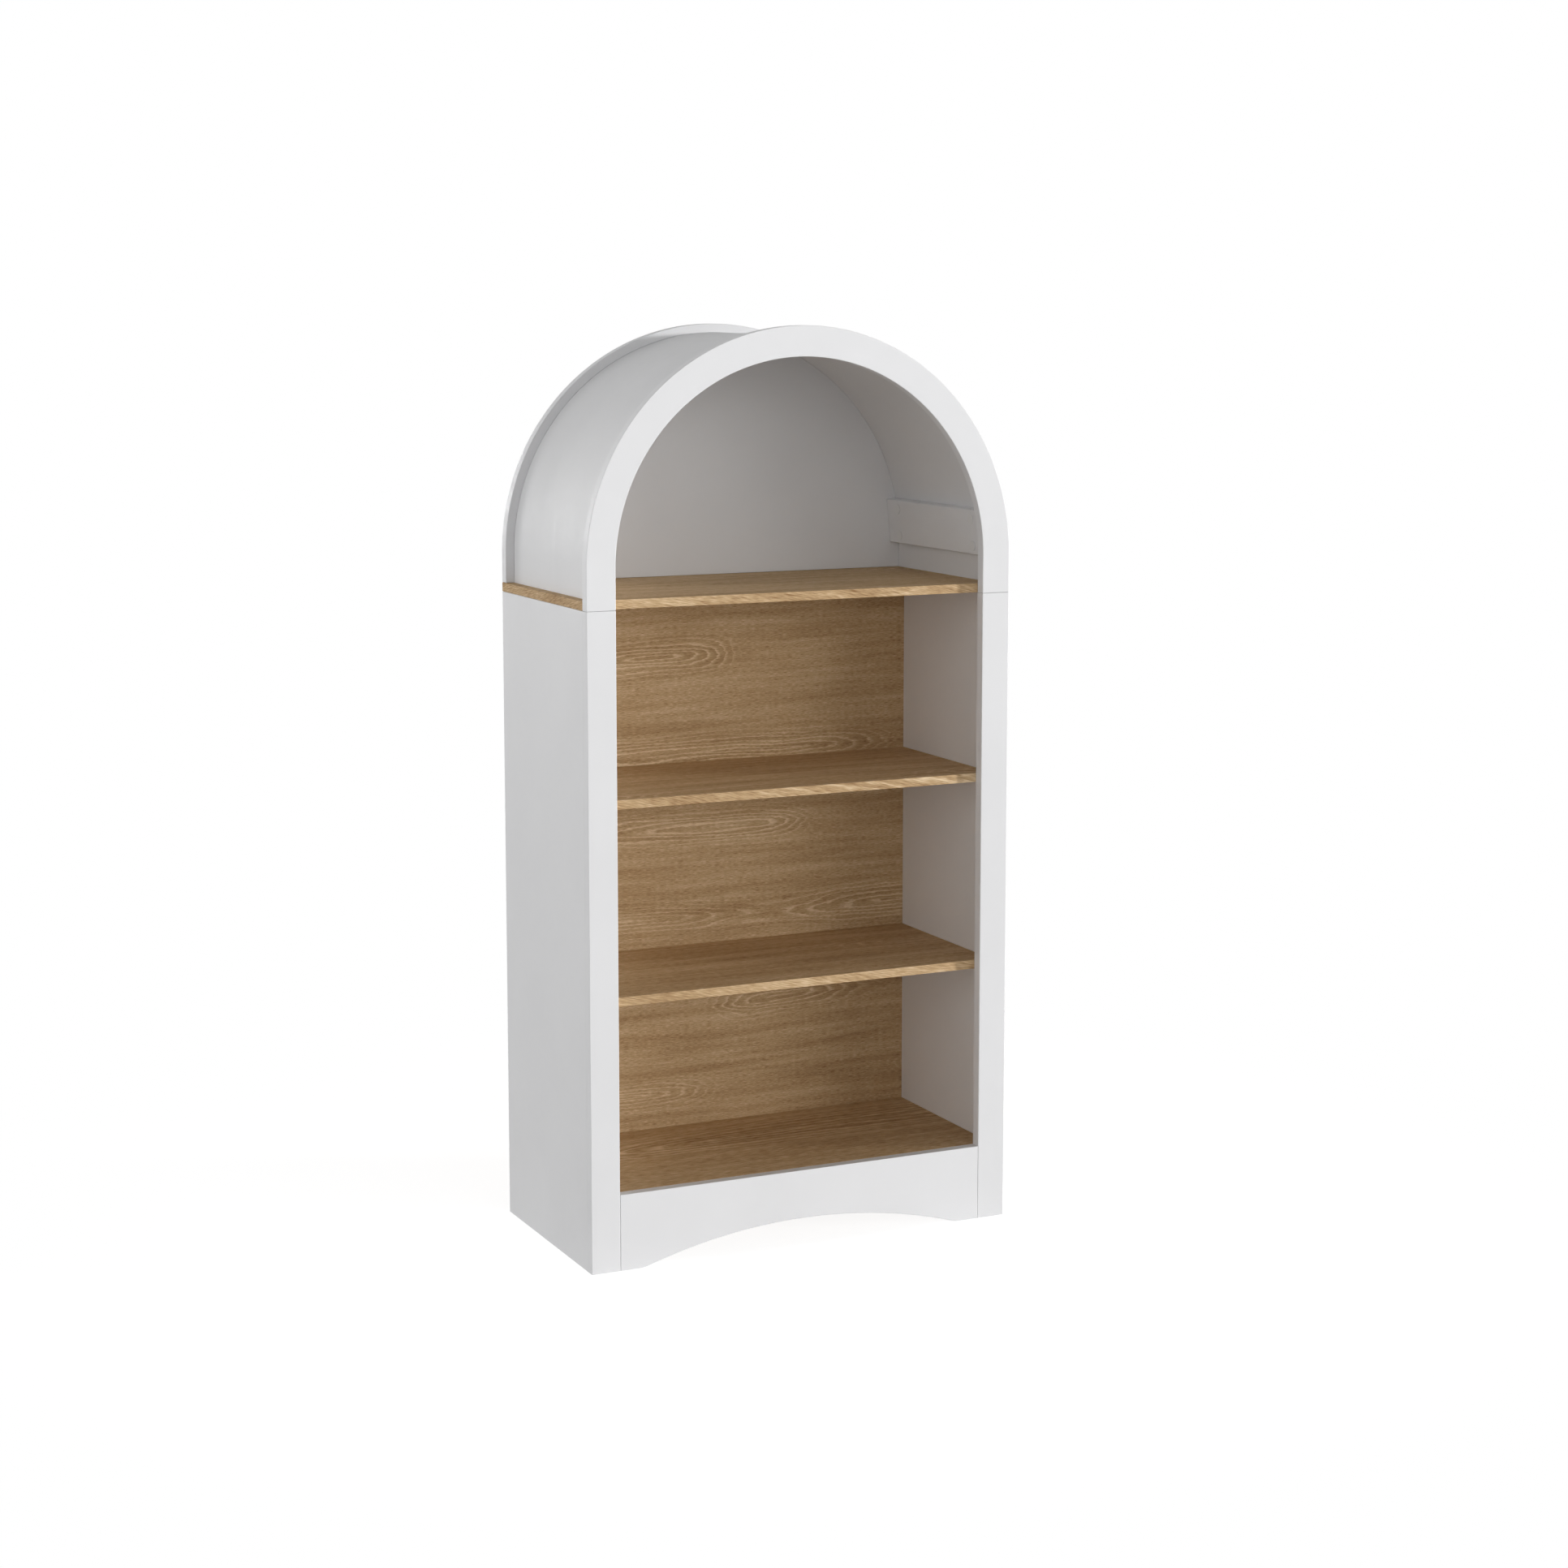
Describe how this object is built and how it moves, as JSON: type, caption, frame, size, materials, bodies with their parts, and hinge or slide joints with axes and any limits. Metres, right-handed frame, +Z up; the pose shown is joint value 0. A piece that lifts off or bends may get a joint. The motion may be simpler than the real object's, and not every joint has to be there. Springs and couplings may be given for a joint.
{
  "type": "arched bookcase",
  "caption": "Tall open bookcase with a white case, oak shelves and back, an arched apron and a round-arched top compartment under a bent roof sheet.",
  "frame": {"origin": "on the floor, under the middle of the bookcase", "axes": "+Z up, front facing -Y, +X to the right as seen from the front"},
  "size_m": [0.762, 0.381, 1.524],
  "materials": {
    "white_lacquer": "satin white lacquer on fibreboard",
    "white_sheet": "satin white lacquer on thin bending board",
    "oak_veneer": "matt oak veneer, grain along the width",
    "beech": "plain beech",
    "zinc": "die-cast zinc",
    "plated_steel": "plated steel",
    "cap_plastic": "satin white plastic"
  },
  "bodies": {
    "root": {"left_side_panel": "white_lacquer", "right_side_panel": "white_lacquer", "left_front_stile": "white_lacquer", "right_front_stile": "white_lacquer", "front_apron": "white_lacquer", "front_arch_ring": "white_lacquer", "arch_back_board": "white_lacquer", "left_arch_rail": "white_lacquer", "right_arch_rail": "white_lacquer", "roof_sheet": "white_sheet", "bottom_shelf": "oak_veneer", "lower_shelf": "oak_veneer", "upper_shelf": "oak_veneer", "deck": "oak_veneer", "back_panel": "oak_veneer", "bottom_shelf_dowel_left_front": "beech", "bottom_shelf_dowel_left_rear": "beech", "bottom_shelf_dowel_right_front": "beech", "bottom_shelf_dowel_right_rear": "beech", "lower_shelf_dowel_left_front": "beech", "lower_shelf_dowel_left_rear": "beech", "lower_shelf_dowel_right_front": "beech", "lower_shelf_dowel_right_rear": "beech", "upper_shelf_dowel_left_front": "beech", "upper_shelf_dowel_left_rear": "beech", "upper_shelf_dowel_right_front": "beech", "upper_shelf_dowel_right_rear": "beech", "deck_dowel_left_front": "beech", "deck_dowel_left_rear": "beech", "deck_dowel_right_front": "beech", "deck_dowel_right_rear": "beech", "ring_dowel_left": "beech", "ring_dowel_right": "beech", "back_board_dowel_left": "beech", "back_board_dowel_right": "beech", "cam_left_front_lower": "zinc", "cam_left_front_upper": "zinc", "cam_left_rear_lower": "zinc", "cam_left_rear_upper": "zinc", "cam_right_front_lower": "zinc", "cam_right_front_upper": "zinc", "cam_right_rear_lower": "zinc", "cam_right_rear_upper": "zinc", "cam_bolt_left_front_lower": "plated_steel", "cam_bolt_left_front_upper": "plated_steel", "cam_bolt_left_rear_lower": "plated_steel", "cam_bolt_left_rear_upper": "plated_steel", "cam_bolt_right_front_lower": "plated_steel", "cam_bolt_right_front_upper": "plated_steel", "cam_bolt_right_rear_lower": "plated_steel", "cam_bolt_right_rear_upper": "plated_steel", "cam_cap_left_front_lower": "cap_plastic", "cam_cap_left_front_upper": "cap_plastic", "cam_cap_left_rear_lower": "cap_plastic", "cam_cap_left_rear_upper": "cap_plastic", "cam_cap_right_front_lower": "cap_plastic", "cam_cap_right_front_upper": "cap_plastic", "cam_cap_right_rear_lower": "cap_plastic", "cam_cap_right_rear_upper": "cap_plastic"}
  },
  "joints": []
}
